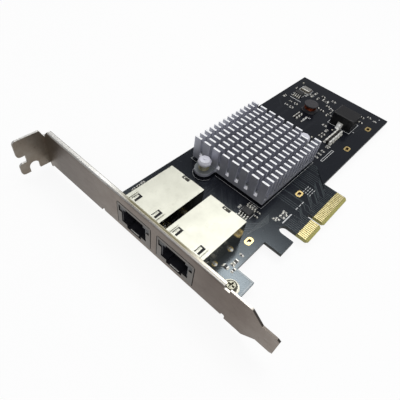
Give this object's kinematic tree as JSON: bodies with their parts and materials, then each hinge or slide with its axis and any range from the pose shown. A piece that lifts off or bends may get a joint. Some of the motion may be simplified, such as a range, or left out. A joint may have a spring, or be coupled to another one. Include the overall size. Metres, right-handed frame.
{
  "type": "network interface card",
  "caption": "Network interface card with a full-height bracket, shielded jacks, a pin-fin heatsink and an edge connector.",
  "frame": {"origin": "middle of the key notch on the contact edge, on the component face of the board", "axes": "+X from the bracket to the tail of the card, +Y from the contact edge to the top edge, +Z out of the component face"},
  "size_m": [0.1678, 0.12, 0.0202],
  "materials": {
    "board": "dark solder mask with a satin gloss",
    "gold": "thin bright gold plating",
    "tinned_pad": "tinned pad",
    "bracket_steel": "bright plated sheet steel with a soft grain",
    "screw_steel": "plated steel",
    "heatsink_metal": "anodised aluminium, grey with bright cut edges",
    "nylon": "natural white nylon",
    "spring_steel": "dull spring steel",
    "substrate": "laminate",
    "chip_body": "moulded black",
    "thermal_pad": "soft grey pad",
    "tin": "bright tin plating",
    "can_metal": "plated can",
    "base_ceramic": "dark ceramic",
    "ferrite": "dark ferrite",
    "copper": "lacquered copper wire",
    "inductor_body": "pressed dark body",
    "capacitor_body": "tan ceramic",
    "resistor_body": "black glazed top",
    "shield_metal": "bright tin-plated sheet",
    "jack_plastic": "moulded black",
    "light_pipe": "clear moulded lamp window",
    "potting": "potted block"
  },
  "bodies": {
    "root": {"bracket": "bracket_steel", "bracket_screws": "screw_steel", "chip_resistor_ends": "tin", "chip_resistors": "resistor_body", "controller_cap": "chip_body", "controller_substrate": "substrate", "crystal_base": "base_ceramic", "crystal_can": "can_metal", "drum_inductor_base": "ferrite", "drum_inductor_core": "ferrite", "drum_inductor_winding": "copper", "edge_contacts": "gold", "flash_body": "chip_body", "flash_leads": "tin", "heatsink": "heatsink_metal", "jack_1_contacts": "gold", "jack_1_housing": "jack_plastic", "jack_1_light_pipes": "light_pipe", "jack_1_magnetics": "potting", "jack_1_pins": "tin", "jack_1_shield": "shield_metal", "jack_2_contacts": "gold", "jack_2_housing": "jack_plastic", "jack_2_light_pipes": "light_pipe", "jack_2_magnetics": "potting", "jack_2_pins": "tin", "jack_2_shield": "shield_metal", "output_capacitor_ends": "tin", "output_capacitors": "capacitor_body", "pcb": "board", "plated_slots": "gold", "power_inductor_core": "inductor_body", "power_inductor_terminals": "tin", "push_pin_front": "nylon", "push_pin_rear": "nylon", "push_pin_spring_front": "spring_steel", "push_pin_spring_rear": "spring_steel", "regulator_body": "chip_body", "regulator_leads": "tin", "screw_pads": "tinned_pad", "small_capacitor_ends": "tin", "small_capacitors": "capacitor_body", "solder_side_capacitor_ends": "tin", "solder_side_capacitors": "capacitor_body", "thermal_pad": "thermal_pad"}
  },
  "joints": []
}
